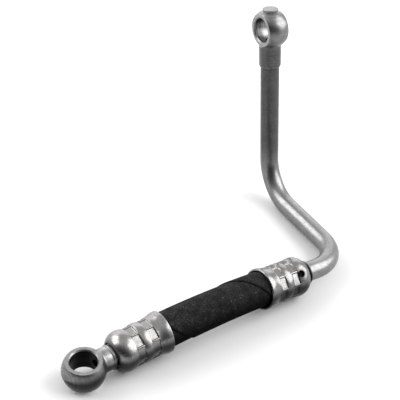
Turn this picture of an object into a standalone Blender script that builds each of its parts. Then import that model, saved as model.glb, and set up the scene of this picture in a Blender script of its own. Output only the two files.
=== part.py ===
"""Oil feed pipe for a turbocharger: a bent steel pipe and a short rubber hose between two banjo eyes.

The oil runs through the whole part: lower eye, hose, pipe, upper eye. The part lies as it comes to rest on a
flat surface: on the crowns of its two crimped ferrules and on the outside of the bend under its tall leg.
"""

from math import acos, asin, atan2, cos, pi, radians, sin, sqrt, tan

import bmesh
import bpy
from mathutils import Matrix, Vector

# Driving dimensions, in metres

# Gap left between pieces that touch on the real part
CLEARANCE = 0.0003

# Steel pipe
PIPE_RADIUS = 0.0040
PIPE_WALL = 0.0010
PIPE_BEND_RADIUS = 0.0177

# Route, measured along the centre line
LOWER_STEM_LENGTH = 0.0119
HOSE_LENGTH = 0.0467
TAIL_LENGTH = 0.0233
SLANT_LENGTH = 0.0575
LEG_LENGTH = 0.0752

# Directions: the hose's chord runs along +X, headings turn from it towards +Y, rises from level
HOSE_TURN = radians(10.0)
HOSE_LEAN = radians(11.0)
SLANT_HEADING = radians(82.2)
SLANT_RISE = radians(-2.4)
LEG_HEADING = radians(89.5)
LEG_RISE = radians(79.8)
LOWER_EYE_ROLL = radians(2.4)
UPPER_EYE_ROLL = radians(-6.9)

# Banjo eyes
BALL_RADIUS = 0.0083
BORE_RADIUS = 0.0051
BORE_CHAMFER = 0.0004
EYE_WIDTH = 0.0094
STEM_RADIUS = 0.00465
BALL_FILLET = 0.0018
NUB_RADIUS = 0.0034
NUB_TOP = 0.0086
NUB_THICKNESS = 0.0005
NUB_NECK_RADIUS = 0.0030
NECK_LENGTH = 0.0170
NECK_CHAMFER_LENGTH = 0.0012
NECK_END_RADIUS = 0.0041

# Oil passage, spigots in the pipe's ends and barbed tails in the hose
PASSAGE_RADIUS = 0.0019
SPIGOT_LENGTH = 0.0040
COLLAR_LENGTH = 0.0022
COLLAR_CHAMFER = 0.0004
BARB_TAIL_LENGTH = 0.0190
TAIL_RADIUS = 0.0033
BARB_RADIUS = 0.0036
BARB_PITCH = 0.0036
BARB_COUNT = 4

# Hose: its cover is a strip wound in a spiral, which leaves one low step
HOSE_RADIUS = 0.0073
COVER_STEP = 0.0004
COVER_PITCH = 0.0425
COVER_START = radians(28.0)
COVER_EDGE = radians(1.5)

# Crimped ferrules, with stations measured from the closed end
FERRULE_LENGTH = 0.0225
FERRULE_WALL = 0.00075
NOSE_THICKNESS = 0.0014
NOSE_RADIUS = 0.0053
CROWN_STATION = 0.0044
CROWN_RADIUS = 0.00805
DOME_RISE = 0.00545
SHOULDER_RADIUS = 0.0076
RIB_RADIUS = 0.0078
RIB_CROWN = 0.0003
GROOVE_RADIUS = 0.0070
GROOVE_WIDTH = 0.0030
GROOVE_WALL_SLOPE = 0.00015
FIRST_GROOVE = 0.0089
GROOVE_SPACING = 0.0065
INNER_GROOVE_WIDTH = 0.0015
INNER_GROOVE_SLOPE = 0.0015
BELL_LENGTH = 0.0010
MOUTH_CHAMFER = 0.0004
JAW_COUNT = 9
LOWER_JAW_ANGLE = radians(3.0)
UPPER_JAW_ANGLE = radians(20.0)
WITNESS_HOLE_RADIUS = 0.0014
WITNESS_HOLE_STATION = 0.0057
WITNESS_HOLE_ANGLE = radians(-31.0)

# Smoothness of the round forms
FACES_PER_JAW = 4
FERRULE_FACES = JAW_COUNT * FACES_PER_JAW
EYE_FACES = 36
HOLE_FACES = 18
TUBE_FACES = 24
HOSE_FACES = 24
BALL_STEPS = 16
FILLET_STEPS = 4
DOME_STEPS = 5
CAVITY_STEPS = 3
SHOULDER_STEPS = 2
FLARE_STEPS = 4
BEND_STEPS = 8
HOSE_ARC_STEPS = 24
HOSE_BORE_STRIDE = 4
SETTLING_ROUNDS = 30
EDGE_ANGLE = radians(30.0)

# Derived sizes
PIPE_BORE_RADIUS = PIPE_RADIUS - PIPE_WALL
SPIGOT_RADIUS = PIPE_BORE_RADIUS - CLEARANCE
HOSE_BORE_RADIUS = BARB_RADIUS + CLEARANCE
BELL_RADIUS = HOSE_RADIUS + CLEARANCE + FERRULE_WALL
DOME_START = asin(1.0 - (CROWN_RADIUS - NOSE_RADIUS) / DOME_RISE)
DOME_REACH = CROWN_STATION / cos(DOME_START)
SECOND_GROOVE = FIRST_GROOVE + GROOVE_SPACING
RIB_STATION = (FIRST_GROOVE + SECOND_GROOVE) / 2.0
RIB_EDGE_RADIUS = RIB_RADIUS - RIB_CROWN
BELL_STATION = FERRULE_LENGTH - BELL_LENGTH
NOSE_BORE_RADIUS = STEM_RADIUS + CLEARANCE


def clear_scene():
    for item in list(bpy.data.objects):
        bpy.data.objects.remove(item)


def make_material(name, colour, roughness, metallic):
    material = bpy.data.materials.new(name)
    material.use_nodes = True
    shader = material.node_tree.nodes["Principled BSDF"]
    shader.inputs["Base Color"].default_value = (*colour, 1.0)
    shader.inputs["Roughness"].default_value = roughness
    shader.inputs["Metallic"].default_value = metallic
    return material


def add_object(name, mesh, material, parent, placing):
    """Put a mesh in the scene as one named piece, placed in its parent's space."""
    mesh.materials.append(material)
    mesh.shade_smooth()
    mesh.set_sharp_from_angle(angle=EDGE_ANGLE)
    piece = bpy.data.objects.new(name, mesh)
    bpy.context.scene.collection.objects.link(piece)
    piece.parent = parent
    piece.matrix_basis = placing
    return piece


def mark_as_cutter(piece):
    piece.hide_render = True
    piece.display_type = "WIRE"


def cut(piece, cutter):
    mark_as_cutter(cutter)
    boolean = piece.modifiers.new(cutter.name, "BOOLEAN")
    boolean.operation = "DIFFERENCE"
    boolean.object = cutter


# Turned and swept shapes

def turned(name, profile, faces, closed):
    """Spin a profile of (station, radius) pairs round +Z. A closed profile makes a ring-shaped body."""
    shape = bmesh.new()
    points = [shape.verts.new((radius, 0.0, station)) for station, radius in profile]
    pairs = list(zip(points, points[1:]))
    if closed:
        pairs.append((points[-1], points[0]))
    edges = [shape.edges.new(pair) for pair in pairs]
    bmesh.ops.spin(shape, geom=points + edges, cent=(0.0, 0.0, 0.0), axis=(0.0, 0.0, 1.0),
                   angle=2.0 * pi, steps=faces, use_merge=True)
    bmesh.ops.remove_doubles(shape, verts=shape.verts, dist=1.0e-6)
    bmesh.ops.recalc_face_normals(shape, faces=shape.faces)
    mesh = bpy.data.meshes.new(name)
    shape.to_mesh(mesh)
    shape.free()
    return mesh


def skinned(name, rings, closing_shift=0):
    """Join rings of points, each to the next, into one tube with a wall.

    The last ring joins the first, whose points it may meet a few places further round.
    """
    shape = bmesh.new()
    loops = [[shape.verts.new(point) for point in ring] for ring in rings]
    count = len(loops[0])
    first = loops[0][closing_shift % count:] + loops[0][:closing_shift % count]
    for here, there in zip(loops, loops[1:] + [first]):
        for index in range(count):
            after = (index + 1) % count
            shape.faces.new((here[index], here[after], there[after], there[index]))
    bmesh.ops.recalc_face_normals(shape, faces=shape.faces)
    mesh = bpy.data.meshes.new(name)
    shape.to_mesh(mesh)
    shape.free()
    return mesh


def frame_at(origin, forward, side):
    """A placing whose +Z looks forward and whose +X leans towards the given side."""
    z_axis = forward.normalized()
    x_axis = (side - z_axis * side.dot(z_axis)).normalized()
    y_axis = z_axis.cross(x_axis)
    turn = Matrix((x_axis, y_axis, z_axis)).transposed()
    return Matrix.Translation(origin) @ turn.to_4x4()


def arc_points(centre_radius, start, end, steps):
    """Points (station, radius) on a circle round the profile's origin, from one polar angle to another."""
    angles = [start + (end - start) * step / steps for step in range(steps + 1)]
    return [(centre_radius * cos(angle), centre_radius * sin(angle)) for angle in angles]


# Centre line of the part

def heading(azimuth, rise):
    return Vector((cos(azimuth) * cos(rise), sin(azimuth) * cos(rise), sin(rise)))


def centre_line():
    """Corners and directions from the lower eye to the upper one, before the part comes to rest."""
    half = HOSE_TURN / 2.0
    along = Vector((1.0, 0.0, 0.0))
    bow = Vector((0.0, -sin(HOSE_LEAN), cos(HOSE_LEAN)))
    bend_radius = HOSE_LENGTH / HOSE_TURN
    line = {"along": along, "bow": bow, "hose_bend_radius": bend_radius}
    line["rise"] = along * cos(half) + bow * sin(half)
    line["fall"] = along * cos(half) - bow * sin(half)
    line["slant"] = heading(SLANT_HEADING, SLANT_RISE)
    line["leg"] = heading(LEG_HEADING, LEG_RISE)
    line["lower_eye"] = Vector((0.0, 0.0, 0.0))
    line["lower_nose"] = line["lower_eye"] + line["rise"] * LOWER_STEM_LENGTH
    line["lower_mouth"] = line["lower_nose"] + line["rise"] * FERRULE_LENGTH
    line["upper_mouth"] = line["lower_mouth"] + along * 2.0 * bend_radius * sin(half)
    line["upper_nose"] = line["upper_mouth"] + line["fall"] * FERRULE_LENGTH
    line["elbow"] = line["upper_nose"] + line["fall"] * TAIL_LENGTH
    line["knee"] = line["elbow"] + line["slant"] * SLANT_LENGTH
    line["upper_eye"] = line["knee"] + line["leg"] * LEG_LENGTH
    return line


def rounded_corner(corner, arriving, leaving, radius):
    """Points and directions along the arc that rounds a corner of the centre line."""
    turn = acos(arriving.dot(leaving))
    start = corner - arriving * radius * tan(turn / 2.0)
    inward = (leaving - arriving * leaving.dot(arriving)).normalized()
    centre = start + inward * radius
    stops = []
    for step in range(BEND_STEPS + 1):
        angle = turn * step / BEND_STEPS
        direction = arriving * cos(angle) + inward * sin(angle)
        point = centre - inward * radius * cos(angle) + arriving * radius * sin(angle)
        stops.append((point, direction))
    return stops


def pipe_route(line):
    """Stops (point, direction) of the steel pipe from the hose's nipple to the upper eye."""
    start = line["upper_nose"] + line["fall"] * (COLLAR_LENGTH + CLEARANCE)
    end = line["upper_eye"] - line["leg"] * (NECK_LENGTH + CLEARANCE)
    stops = [(start, line["fall"])]
    stops += rounded_corner(line["elbow"], line["fall"], line["slant"], PIPE_BEND_RADIUS)
    stops += rounded_corner(line["knee"], line["slant"], line["leg"], PIPE_BEND_RADIUS)
    stops.append((end, line["leg"]))
    return stops


# Rest position

def lowest_of_ring(matrix, centre, direction, radius):
    axis = matrix.to_3x3() @ direction
    return (matrix @ centre).z - radius * sqrt(1.0 - axis.z * axis.z)


def lowest_of_ferrule(matrix, nose, direction):
    crown = lowest_of_ring(matrix, nose + direction * CROWN_STATION, direction, CROWN_RADIUS)
    mouth = lowest_of_ring(matrix, nose + direction * BELL_STATION, direction, BELL_RADIUS)
    return min(crown, mouth)


def settled(line):
    """Turn the part until both ferrules and the bend under the leg touch one level plane."""
    bend = rounded_corner(line["knee"], line["slant"], line["leg"], PIPE_BEND_RADIUS)
    matrix = Matrix.Identity(4)
    span_x = (line["upper_nose"] - line["lower_nose"]).length
    span_y = line["knee"].y - line["lower_nose"].y
    for _ in range(SETTLING_ROUNDS):
        lower = lowest_of_ferrule(matrix, line["lower_nose"], line["rise"])
        upper = lowest_of_ferrule(matrix, line["upper_nose"], -line["fall"])
        knee = min(lowest_of_ring(matrix, point, direction, PIPE_RADIUS) for point, direction in bend)
        matrix = Matrix.Rotation(asin((upper - lower) / span_x), 4, "Y") @ matrix
        matrix = Matrix.Rotation(-asin((knee - upper) / span_y), 4, "X") @ matrix
    return matrix


def stand_on_floor(stance, pieces):
    """Move the part so that its lowest point is at height 0 and its box is centred on the origin."""
    bpy.context.view_layer.update()
    graph = bpy.context.evaluated_depsgraph_get()
    corners = []
    for piece in pieces:
        shape = piece.evaluated_get(graph)
        corners += [piece.matrix_world @ vertex.co for vertex in shape.data.vertices]
    low = [min(corner[axis] for corner in corners) for axis in range(3)]
    high = [max(corner[axis] for corner in corners) for axis in range(3)]
    shift = Vector((-(low[0] + high[0]) / 2.0, -(low[1] + high[1]) / 2.0, -low[2]))
    stance.matrix_basis = Matrix.Translation(shift) @ stance.matrix_basis


# Banjo eyes and the hose nipple

def ball_profile(start_angle):
    """The ball from a given polar angle round to its fillet into the stem."""
    reach = BALL_RADIUS + BALL_FILLET
    fillet_centre_radius = STEM_RADIUS + BALL_FILLET
    fillet_centre_station = sqrt(reach ** 2 - fillet_centre_radius ** 2)
    meeting_angle = atan2(fillet_centre_radius, fillet_centre_station)
    ball = arc_points(BALL_RADIUS, start_angle, meeting_angle, BALL_STEPS)
    fillet = []
    for step in range(1, FILLET_STEPS + 1):
        angle = meeting_angle + pi + (pi / 2.0 - meeting_angle) * step / FILLET_STEPS
        fillet.append((fillet_centre_station + BALL_FILLET * cos(angle),
                       fillet_centre_radius + BALL_FILLET * sin(angle)))
    return ball + fillet


def barbed_tail(start):
    """Profile of the barbed tail that the hose is pushed over, from the stem's step to the tail's end."""
    end = start + BARB_TAIL_LENGTH - NOSE_THICKNESS
    points = [(start, STEM_RADIUS), (start, TAIL_RADIUS)]
    for index in range(BARB_COUNT):
        crest = end - (BARB_COUNT - index - 0.5) * BARB_PITCH
        points += [(crest, BARB_RADIUS), (crest + BARB_PITCH / 2.0, TAIL_RADIUS)]
    points[-1] = (end, TAIL_RADIUS)
    return points


def spigot(shoulder, side):
    """Profile of the spigot inside the pipe's end: from the shoulder's edge out to its tip."""
    tip = shoulder + side * SPIGOT_LENGTH
    return [(shoulder, SPIGOT_RADIUS), (tip, SPIGOT_RADIUS), (tip, PASSAGE_RADIUS)]


def upper_eye_profile():
    nub_angle = pi - asin(NUB_NECK_RADIUS / BALL_RADIUS)
    nub = [(-NUB_TOP, 0.0), (-NUB_TOP, NUB_RADIUS), (-NUB_TOP + NUB_THICKNESS, NUB_RADIUS),
           (-NUB_TOP + NUB_THICKNESS, NUB_NECK_RADIUS)]
    neck = [(NECK_LENGTH - NECK_CHAMFER_LENGTH, STEM_RADIUS), (NECK_LENGTH, NECK_END_RADIUS)]
    passage = [(0.0, PASSAGE_RADIUS), (0.0, 0.0)]
    return nub + ball_profile(nub_angle) + neck + spigot(NECK_LENGTH, 1.0) + passage


def lower_eye_profile():
    end = LOWER_STEM_LENGTH + NOSE_THICKNESS
    tail = barbed_tail(end)
    tip = tail[-1][0]
    return ball_profile(pi) + tail + [(tip, PASSAGE_RADIUS), (0.0, PASSAGE_RADIUS), (0.0, 0.0)]


def nipple_profile():
    tail = barbed_tail(NOSE_THICKNESS)
    tip = tail[-1][0]
    shoulder = [(-COLLAR_LENGTH, STEM_RADIUS - COLLAR_CHAMFER),
                (-COLLAR_LENGTH + COLLAR_CHAMFER, STEM_RADIUS)]
    return list(reversed(spigot(-COLLAR_LENGTH, -1.0))) + shoulder + tail + [(tip, PASSAGE_RADIUS)]


def bore_cutter_profile():
    """The bore with its chamfers, and what is cut away outside the two sealing faces."""
    half = EYE_WIDTH / 2.0
    beyond = BALL_RADIUS + CLEARANCE
    return [(-beyond, 0.0), (-beyond, beyond), (-half, beyond), (-half, BORE_RADIUS + BORE_CHAMFER),
            (-half + BORE_CHAMFER, BORE_RADIUS), (half - BORE_CHAMFER, BORE_RADIUS),
            (half, BORE_RADIUS + BORE_CHAMFER), (half, beyond), (beyond, beyond), (beyond, 0.0)]


def make_eye(name, profile, placing, material, parent):
    """A banjo eye: a turned ball on its stem, cut flat on two sides and bored along its own +X."""
    eye = add_object(name, turned(name, profile, EYE_FACES, False), material, parent, placing)
    bore = turned(name + "_bore", bore_cutter_profile(), EYE_FACES, False)
    across = placing @ Matrix.Rotation(pi / 2.0, 4, "Y")
    cut(eye, add_object(name + "_bore", bore, material, parent, across))
    return eye


# Crimped ferrules

def dome(start, wall, steps):
    """Points (station, radius) of the elliptical dome, from a polar angle to the crown, a wall inside its skin."""
    points = []
    for step in range(steps + 1):
        angle = start + (pi / 2.0 - start) * step / steps
        points.append((CROWN_STATION - (DOME_REACH - wall) * cos(angle),
                       CROWN_RADIUS - DOME_RISE + (DOME_RISE - wall) * sin(angle)))
    return points


def ferrule_outline():
    """Outer profile from the closed end to the mouth, before the jaws flatten the two grooves."""
    half = GROOVE_WIDTH / 2.0
    points = dome(DOME_START, 0.0, DOME_STEPS)
    for step in range(1, SHOULDER_STEPS + 1):
        share = step / SHOULDER_STEPS
        points.append((CROWN_STATION + (FIRST_GROOVE - half - CROWN_STATION) * share,
                       CROWN_RADIUS - (CROWN_RADIUS - SHOULDER_RADIUS) * share ** 2))
    points += [(FIRST_GROOVE - half + GROOVE_WALL_SLOPE, GROOVE_RADIUS),
               (FIRST_GROOVE + half - GROOVE_WALL_SLOPE, GROOVE_RADIUS),
               (FIRST_GROOVE + half, RIB_EDGE_RADIUS),
               (RIB_STATION, RIB_RADIUS),
               (SECOND_GROOVE - half, RIB_EDGE_RADIUS),
               (SECOND_GROOVE - half + GROOVE_WALL_SLOPE, GROOVE_RADIUS),
               (SECOND_GROOVE + half - GROOVE_WALL_SLOPE, GROOVE_RADIUS),
               (SECOND_GROOVE + half, RIB_EDGE_RADIUS)]
    flare_start, flare_radius = points[-1]
    for step in range(1, FLARE_STEPS + 1):
        share = step / FLARE_STEPS
        rise = (1.0 - cos(pi * share)) / 2.0
        points.append((flare_start + (BELL_STATION - flare_start) * share,
                       flare_radius + (BELL_RADIUS - flare_radius) * rise))
    points += [(FERRULE_LENGTH - MOUTH_CHAMFER, BELL_RADIUS), (FERRULE_LENGTH, BELL_RADIUS - MOUTH_CHAMFER)]
    return points


def ferrule_cavity(inset):
    """Inner profile from the nose to the mouth, drawn in by an inset where the hose follows it."""
    half = INNER_GROOVE_WIDTH / 2.0
    wall = FERRULE_WALL + inset
    start = acos((CROWN_STATION - NOSE_THICKNESS - inset) / (DOME_REACH - wall))
    points = dome(start, wall, CAVITY_STEPS)
    points += [(FIRST_GROOVE - half - INNER_GROOVE_SLOPE, SHOULDER_RADIUS - wall),
               (FIRST_GROOVE - half, GROOVE_RADIUS - wall),
               (FIRST_GROOVE + half, GROOVE_RADIUS - wall),
               (RIB_STATION, RIB_RADIUS - wall),
               (SECOND_GROOVE - half, GROOVE_RADIUS - wall),
               (SECOND_GROOVE + half, GROOVE_RADIUS - wall),
               (BELL_STATION, BELL_RADIUS - wall),
               (FERRULE_LENGTH, BELL_RADIUS - wall)]
    return points


def press_jaws(mesh):
    """Flatten the grooves into one flat for each jaw, with metal squeezed up where two jaws meet."""
    face = 2.0 * pi / FERRULE_FACES
    reach = (GROOVE_WIDTH - GROOVE_WALL_SLOPE) / 2.0
    middle_of_wall = GROOVE_RADIUS - FERRULE_WALL / 2.0
    for vertex in mesh.vertices:
        radius = sqrt(vertex.co.x ** 2 + vertex.co.y ** 2)
        in_groove = min(abs(vertex.co.z - FIRST_GROOVE), abs(vertex.co.z - SECOND_GROOVE)) < reach
        if not in_groove or radius < middle_of_wall:
            continue
        angle = atan2(vertex.co.y, vertex.co.x)
        faces_past_joint = round(angle / face) % FACES_PER_JAW
        from_middle = (faces_past_joint - FACES_PER_JAW / 2.0) * face
        pressed = RIB_EDGE_RADIUS if faces_past_joint == 0 else GROOVE_RADIUS / cos(from_middle)
        vertex.co.x = pressed * cos(angle)
        vertex.co.y = pressed * sin(angle)


def make_ferrule(name, placing, jaw_angle, material, parent):
    profile = ferrule_outline() + list(reversed(ferrule_cavity(0.0)))
    profile += [(NOSE_THICKNESS, NOSE_BORE_RADIUS), (0.0, NOSE_BORE_RADIUS)]
    mesh = turned(name, profile, FERRULE_FACES, True)
    press_jaws(mesh)
    return add_object(name, mesh, material, parent, placing @ Matrix.Rotation(jaw_angle, 4, "Z"))


def drill_witness_hole(ferrule, placing, material, parent):
    """The small hole through which the fitter sees that the hose is pushed fully home."""
    inside = sqrt((SHOULDER_RADIUS - FERRULE_WALL) ** 2 - WITNESS_HOLE_RADIUS ** 2) - CLEARANCE
    outside = CROWN_RADIUS + CLEARANCE
    profile = [(inside, 0.0), (inside, WITNESS_HOLE_RADIUS), (outside, WITNESS_HOLE_RADIUS), (outside, 0.0)]
    mesh = turned("witness_hole", profile, HOLE_FACES, False)
    turn = Matrix.Rotation(WITNESS_HOLE_ANGLE, 4, "Z")
    station = Matrix.Translation((0.0, 0.0, WITNESS_HOLE_STATION))
    hole = add_object("witness_hole", mesh, material, parent,
                      placing @ turn @ station @ Matrix.Rotation(pi / 2.0, 4, "Y"))
    cut(ferrule, hole)


# Pipe and hose

def carried_frames(stops, side):
    """Side vectors carried along the stops without twisting round the centre line."""
    frames = []
    for point, direction in stops:
        side = (side - direction * side.dot(direction)).normalized()
        frames.append((point, direction, side, direction.cross(side)))
    return frames


def round_ring(frame, radius, faces):
    point, _, side, other = frame
    angles = [2.0 * pi * index / faces for index in range(faces)]
    return [point + (side * cos(angle) + other * sin(angle)) * radius for angle in angles]


def make_pipe(line, material, parent):
    frames = carried_frames(pipe_route(line), line["bow"])
    outside = [round_ring(frame, PIPE_RADIUS, TUBE_FACES) for frame in frames]
    inside = [round_ring(frame, PIPE_BORE_RADIUS, TUBE_FACES) for frame in reversed(frames)]
    mesh = skinned("bent_pipe", outside + inside)
    return add_object("bent_pipe", mesh, material, parent, Matrix.Identity(4))


def hose_stops(line):
    """Stops of the hose as (station, point, direction, outer radius), stations from the lower mouth."""
    cavity = ferrule_cavity(CLEARANCE)
    stops = []
    for station, radius in cavity[:-1]:
        point = line["lower_nose"] + line["rise"] * station
        stops.append((station - FERRULE_LENGTH, point, line["rise"], radius))
    radius = line["hose_bend_radius"]
    half = HOSE_TURN / 2.0
    for step in range(HOSE_ARC_STEPS + 1):
        angle = -half + HOSE_TURN * step / HOSE_ARC_STEPS
        point = (line["lower_mouth"] + line["along"] * radius * (sin(angle) + sin(half))
                 + line["bow"] * radius * (cos(angle) - cos(half)))
        direction = line["along"] * cos(angle) - line["bow"] * sin(angle)
        stops.append((HOSE_LENGTH * step / HOSE_ARC_STEPS, point, direction, HOSE_RADIUS))
    for station, radius in reversed(cavity[:-1]):
        point = line["upper_nose"] - line["fall"] * station
        stops.append((HOSE_LENGTH + FERRULE_LENGTH - station, point, line["fall"], radius))
    return stops


def seam_angle(station):
    return COVER_START + 2.0 * pi * station / COVER_PITCH


def wound_ring(frame, station, radius):
    """One ring of the hose's outside: the cover's strip ends in a low step along a spiral line."""
    point, _, side, other = frame
    ring = []
    for index in range(HOSE_FACES):
        share = index / (HOSE_FACES - 1)
        angle = seam_angle(station) + COVER_EDGE / 2.0 + (2.0 * pi - COVER_EDGE) * share
        reach = radius - COVER_STEP * (1.0 - share)
        ring.append(point + (side * cos(angle) + other * sin(angle)) * reach)
    return ring


def bore_ring(frame, phase):
    """One ring of the hose's bore, with its points turned by a phase."""
    point, direction, side, other = frame
    turned_side = side * cos(phase) + other * sin(phase)
    turned_frame = (point, direction, turned_side, direction.cross(turned_side))
    return round_ring(turned_frame, HOSE_BORE_RADIUS, HOSE_FACES)


def make_hose(line, material, parent):
    stops = hose_stops(line)
    frames = carried_frames([(point, direction) for _, point, direction, _ in stops], line["bow"])
    outside = [wound_ring(frame, stop[0], stop[3]) for frame, stop in zip(frames, stops)]
    # The spiral turns the outside's points by a whole number of faces more than the bore's
    start_angle = seam_angle(stops[0][0])
    end_angle = seam_angle(stops[-1][0])
    face = 2.0 * pi / HOSE_FACES
    shift = round((end_angle - start_angle) / face)
    left_over = end_angle - start_angle - shift * face
    bore_indices = sorted(set(range(0, len(stops), HOSE_BORE_STRIDE)) | {len(stops) - 1})
    inside = []
    for index in reversed(bore_indices):
        share = index / (len(stops) - 1)
        inside.append(bore_ring(frames[index], start_angle + left_over * share + shift * face))
    mesh = skinned("hose", outside + inside, shift)
    return add_object("hose", mesh, material, parent, Matrix.Identity(4))


def main():
    clear_scene()
    bright_steel = make_material("bright_zinc_steel", (0.62, 0.61, 0.60), 0.30, 1.0)
    dark_steel = make_material("dark_zinc_steel", (0.42, 0.42, 0.42), 0.38, 1.0)
    rubber = make_material("fabric_cured_rubber", (0.02, 0.02, 0.022), 0.75, 0.0)

    line = centre_line()
    stance = bpy.data.objects.new("stance", None)
    bpy.context.scene.collection.objects.link(stance)
    stance.matrix_basis = settled(line)

    lower_eye = (frame_at(line["lower_eye"], line["rise"], Vector((0.0, 0.0, 1.0)))
                 @ Matrix.Rotation(LOWER_EYE_ROLL, 4, "Z"))
    lower_ferrule = frame_at(line["lower_nose"], line["rise"], line["bow"])
    upper_ferrule = frame_at(line["upper_nose"], -line["fall"], line["bow"])
    upper_eye = (frame_at(line["upper_eye"], -line["leg"], -line["along"])
                 @ Matrix.Rotation(-UPPER_EYE_ROLL, 4, "Z"))

    pieces = [make_eye("lower_banjo_eye", lower_eye_profile(), lower_eye, dark_steel, stance)]
    pieces.append(make_ferrule("lower_ferrule", lower_ferrule, LOWER_JAW_ANGLE, bright_steel, stance))
    pieces.append(make_hose(line, rubber, stance))
    pieces.append(make_ferrule("upper_ferrule", upper_ferrule, UPPER_JAW_ANGLE, bright_steel, stance))
    drill_witness_hole(pieces[-1], upper_ferrule, bright_steel, stance)
    nipple = turned("hose_nipple", nipple_profile(), EYE_FACES, True)
    pieces.append(add_object("hose_nipple", nipple, bright_steel, stance, upper_ferrule))
    pieces.append(make_pipe(line, bright_steel, stance))
    pieces.append(make_eye("upper_banjo_eye", upper_eye_profile(), upper_eye, dark_steel, stance))
    stand_on_floor(stance, pieces)


main()
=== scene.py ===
# %% [markdown]
# # An oil feed pipe: bent steel tube, short rubber hose, two banjo eyes
#
# The part carries oil from an engine's block up to its turbocharger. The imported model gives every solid
# its true place, and this notebook dresses those solids: it builds a finer mesh for each of them, gives
# each a finish, and sets up a floor, lamps and a camera.
#
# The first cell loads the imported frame. Everything is in metres: +X runs along the hose, +Z is up.

# %% Load the frame
from math import acos, asin, atan2, cos, degrees, pi, radians, sin, sqrt

import bmesh
import bpy
from mathutils import Matrix, Vector


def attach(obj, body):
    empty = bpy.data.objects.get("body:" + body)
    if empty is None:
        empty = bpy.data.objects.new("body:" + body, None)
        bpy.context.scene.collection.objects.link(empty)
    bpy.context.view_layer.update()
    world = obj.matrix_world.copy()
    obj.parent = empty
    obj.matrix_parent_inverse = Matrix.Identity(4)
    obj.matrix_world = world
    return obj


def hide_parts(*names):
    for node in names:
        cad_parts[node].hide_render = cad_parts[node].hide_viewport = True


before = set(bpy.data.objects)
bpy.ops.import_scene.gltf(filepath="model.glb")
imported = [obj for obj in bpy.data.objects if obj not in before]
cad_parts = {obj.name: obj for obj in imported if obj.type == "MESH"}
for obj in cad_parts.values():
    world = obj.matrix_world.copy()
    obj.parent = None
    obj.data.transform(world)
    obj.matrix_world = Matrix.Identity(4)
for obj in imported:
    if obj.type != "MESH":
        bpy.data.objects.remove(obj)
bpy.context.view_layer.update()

print("nodes:", ", ".join(sorted(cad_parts)))

# %% [markdown]
# ## The camera comes first
#
# A camera is a place and three directions. These were found by laying the pipe's known centre line over
# the picture until both agreed within half a pixel. The long lens (114 mm on a 36 mm sensor) still
# shows some perspective, because the part is only half a metre away: the lower eye looks larger than
# the upper one.

# %% Camera
CAMERA_PLACE = Vector((-0.25449, -0.31020, 0.32531))
CAMERA_RIGHT = Vector((0.79664, -0.59834, 0.08578))
CAMERA_UP = Vector((0.29601, 0.50990, 0.80770))
CAMERA_BACK = Vector((-0.52702, -0.61806, 0.58331))
CAMERA_LENS = 113.84

camera_data = bpy.data.cameras.new("camera")
camera_data.sensor_width = 36.0
camera_data.lens = CAMERA_LENS
camera_data.clip_start = 0.01
camera_data.clip_end = 20.0
camera = bpy.data.objects.new("camera", camera_data)
bpy.context.scene.collection.objects.link(camera)
turn = Matrix((CAMERA_RIGHT, CAMERA_UP, CAMERA_BACK)).transposed()
camera.matrix_world = Matrix.Translation(CAMERA_PLACE) @ turn.to_4x4()
bpy.context.scene.camera = camera
print("camera looks down by", round(degrees(asin(CAMERA_BACK.z)), 1), "degrees")

# %% [markdown]
# ## The skeleton of the part
#
# All pieces follow one centre line, so its corners and directions come before any mesh. A maker would
# read them off the drawing: where the eyes' balls sit, where each ferrule starts, where the tube bends.

# %% Centre line
LOWER_EYE = Vector((-0.0658248, -0.0348061, 0.0066262))
LOWER_NOSE = Vector((-0.0539701, -0.0350066, 0.0076438))
LOWER_MOUTH = Vector((-0.0315557, -0.0353856, 0.0095678))
UPPER_MOUTH = Vector((0.0150851, -0.0353856, 0.0095678))
UPPER_NOSE = Vector((0.0374994, -0.0350066, 0.0076438))
ELBOW = Vector((0.0607108, -0.0346141, 0.0056514))
KNEE = Vector((0.0685076, 0.0223099, 0.0033877))
UPPER_EYE = Vector((0.0686238, 0.0354387, 0.0774327))

ALONG = Vector((1.0, 0.0, 0.0))
BOW = Vector((0.0, -0.1932944, 0.9811409))
ACROSS = ALONG.cross(BOW)
RISE = (LOWER_MOUTH - LOWER_NOSE).normalized()
FALL = (UPPER_NOSE - UPPER_MOUTH).normalized()
SLANT = (KNEE - ELBOW).normalized()
LEG = (UPPER_EYE - KNEE).normalized()
LOWER_BORE = Vector((-0.0861666, -0.0429640, 0.9953540))
UPPER_BORE = Vector((-0.9927562, 0.1185595, -0.0194636))
bends = [round(degrees(acos(before.dot(after)))) for before, after in ((FALL, SLANT), (SLANT, LEG))]
print("tube bends by", bends[0], "and", bends[1], "degrees")


# %% [markdown]
# Three small helpers come back throughout the script. `placing` makes the matrix that stands a turned piece
# on the centre line. `turned` spins a profile of (station, radius) pairs round +Z, as a lathe does.
# `finish_piece` gives a mesh its object, its finish and its smooth shading. A piece's place goes into
# its mesh, so that its object stays at the origin.

# %% Helpers
SHARP_ANGLE = radians(32.0)


def placing(origin, forward, side):
    """A matrix whose +Z looks forward and whose +X leans towards the given side."""
    z_axis = forward.normalized()
    x_axis = (side - z_axis * side.dot(z_axis)).normalized()
    y_axis = z_axis.cross(x_axis)
    return Matrix.Translation(origin) @ Matrix((x_axis, y_axis, z_axis)).transposed().to_4x4()


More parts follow.
